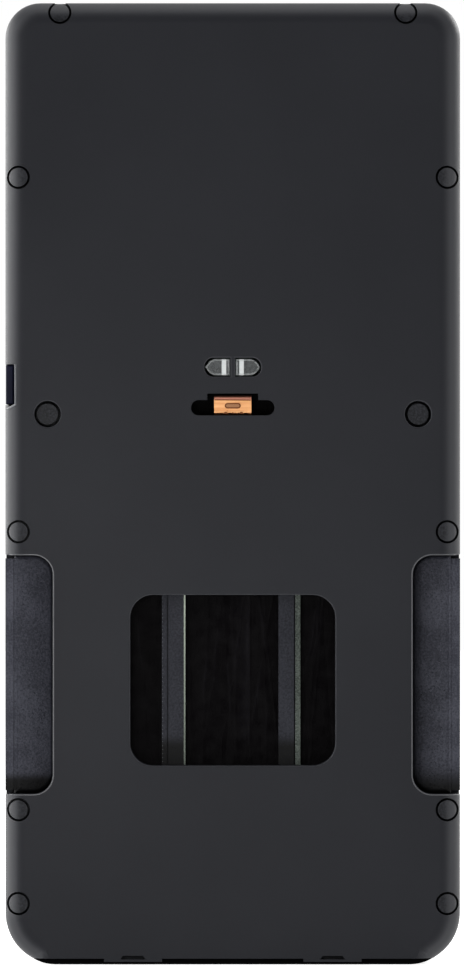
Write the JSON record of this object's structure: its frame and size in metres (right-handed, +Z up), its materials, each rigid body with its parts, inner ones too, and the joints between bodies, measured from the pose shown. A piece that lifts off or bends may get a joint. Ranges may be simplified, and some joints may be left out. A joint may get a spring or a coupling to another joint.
{
  "type": "geiger counter",
  "caption": "Slim upright hand-held Geiger counter: guarded detector window, side grip pads, spring catch and lenses at the rear, display and keys at the front, battery door below.",
  "frame": {"origin": "middle of the foot that the instrument stands on, at the middle of the bounding box", "axes": "+Z up the length of the instrument; the rear face with the detector window looks along -Y; the front face with the display and keys looks along +Y; +X is to the right as seen from behind the rear face"},
  "size_m": [0.084, 0.028, 0.1776],
  "materials": {
    "case_plastic": "fine matt texture, dark grey",
    "plug_plastic": "matt, dark grey",
    "pad_rubber": "grainy, near black",
    "flap_rubber": "smooth, blue black",
    "seal_rubber": "soft black",
    "clear_plastic": "clear moulded plastic",
    "catch_copper": "copper plated spring sheet",
    "steel": "plated steel",
    "bar_plastic": "matt, dark grey",
    "bright_strip": "satin strip",
    "foam": "closed-cell foam",
    "window_foil": "black crinkled foil",
    "seal_glass": "sealing glass, opaque",
    "board_green": "lacquered glass-fibre board",
    "chip_black": "moulded epoxy",
    "lamp_white": "white lamp package",
    "display_metal": "pressed frame",
    "display_glass": "grey-green liquid-crystal glass",
    "speaker_black": "moulded basket and cone",
    "cloth": "woven screen",
    "key_rubber": "silicone key",
    "power_rubber": "silicone key, muted red",
    "cell_jacket": "plain printed jacket",
    "brass": "turned brass",
    "flex_amber": "polyimide ribbon",
    "cap_black": "matt, black",
    "door_plastic": "matt, near black",
    "tray_plastic": "matt, black"
  },
  "bodies": {
    "case": {"alarm_lens": "clear_plastic", "anode_clip": "brass", "board_chips": "chip_black", "board_lamps": "lamp_white", "board_screws": "steel", "case_screws": "steel", "cell_tray": "tray_plastic", "cells": "cell_jacket", "clock_cell": "steel", "clock_cell_holder": "chip_black", "cover_gasket": "seal_rubber", "detector_frame": "bar_plastic", "display_flex": "flex_amber", "display_frame": "display_metal", "display_glass": "display_glass", "display_pad": "foam", "display_pane": "clear_plastic", "flap_anchor": "flap_rubber", "frame_screws": "steel", "front_housing": "case_plastic", "grip_left": "pad_rubber", "grip_right": "pad_rubber", "guard_strips": "bright_strip", "high_voltage_block": "chip_black", "key_switches": "chip_black", "latch_cap": "cap_black", "latch_rivets": "steel", "latch_root": "catch_copper", "main_board": "board_green", "rear_cover": "case_plastic", "rear_lens_left": "clear_plastic", "rear_lens_right": "clear_plastic", "screw_plugs": "plug_plastic", "shield_can": "steel", "speaker": "speaker_black", "speaker_cloth": "cloth", "speaker_ring": "foam", "tray_contacts": "steel", "tray_springs": "steel", "tube_anode": "steel", "tube_body": "steel", "tube_foam": "foam", "tube_mica": "window_foil", "tube_seal_glass": "seal_glass", "tube_strap": "steel", "usb_socket": "steel"},
    "battery_door": {"battery_door": "door_plastic", "door_seal": "seal_rubber", "door_contacts": "steel", "door_springs": "steel"},
    "latch": {"latch_leaf": "catch_copper"},
    "flap": {"port_flap": "flap_rubber"},
    "key_left": {"key_left": "key_rubber", "key_left_plunger": "chip_black"},
    "key_mode": {"key_mode": "key_rubber", "key_mode_plunger": "chip_black"},
    "key_right": {"key_right": "key_rubber", "key_right_plunger": "chip_black"},
    "key_power": {"key_power": "power_rubber", "key_power_plunger": "chip_black"}
  },
  "joints": [
    {"name": "door_slide", "type": "slide", "parent": "case", "child": "battery_door", "axis": [0, 0, -1], "range_m": [0, 0.06]},
    {"name": "latch_flex", "type": "hinge", "parent": "case", "child": "latch", "pos_m": [0, -0.0104, 0.08728], "axis": [-1, 0, 0], "range_deg": [0, 4], "stiffness_Nm_per_rad": 0.45, "springref_deg": -1.72},
    {"name": "flap_hinge", "type": "hinge", "parent": "case", "child": "flap", "pos_m": [-0.0419, 0.00628, 0.10705], "axis": [0, 0, -1], "range_deg": [0, 100], "stiffness_Nm_per_rad": 0.01, "springref_deg": -2.86},
    {"name": "key_left_press", "type": "slide", "parent": "case", "child": "key_left", "axis": [0, -1, 0], "range_m": [0, 0.0005], "stiffness_N_per_m": 2000, "springref_m": -0.0002},
    {"name": "key_mode_press", "type": "slide", "parent": "case", "child": "key_mode", "axis": [0, -1, 0], "range_m": [0, 0.0005], "stiffness_N_per_m": 2000, "springref_m": -0.0002},
    {"name": "key_right_press", "type": "slide", "parent": "case", "child": "key_right", "axis": [0, -1, 0], "range_m": [0, 0.0005], "stiffness_N_per_m": 2000, "springref_m": -0.0002},
    {"name": "key_power_press", "type": "slide", "parent": "case", "child": "key_power", "axis": [0, -1, 0], "range_m": [0, 0.0005], "stiffness_N_per_m": 2000, "springref_m": -0.0002}
  ]
}
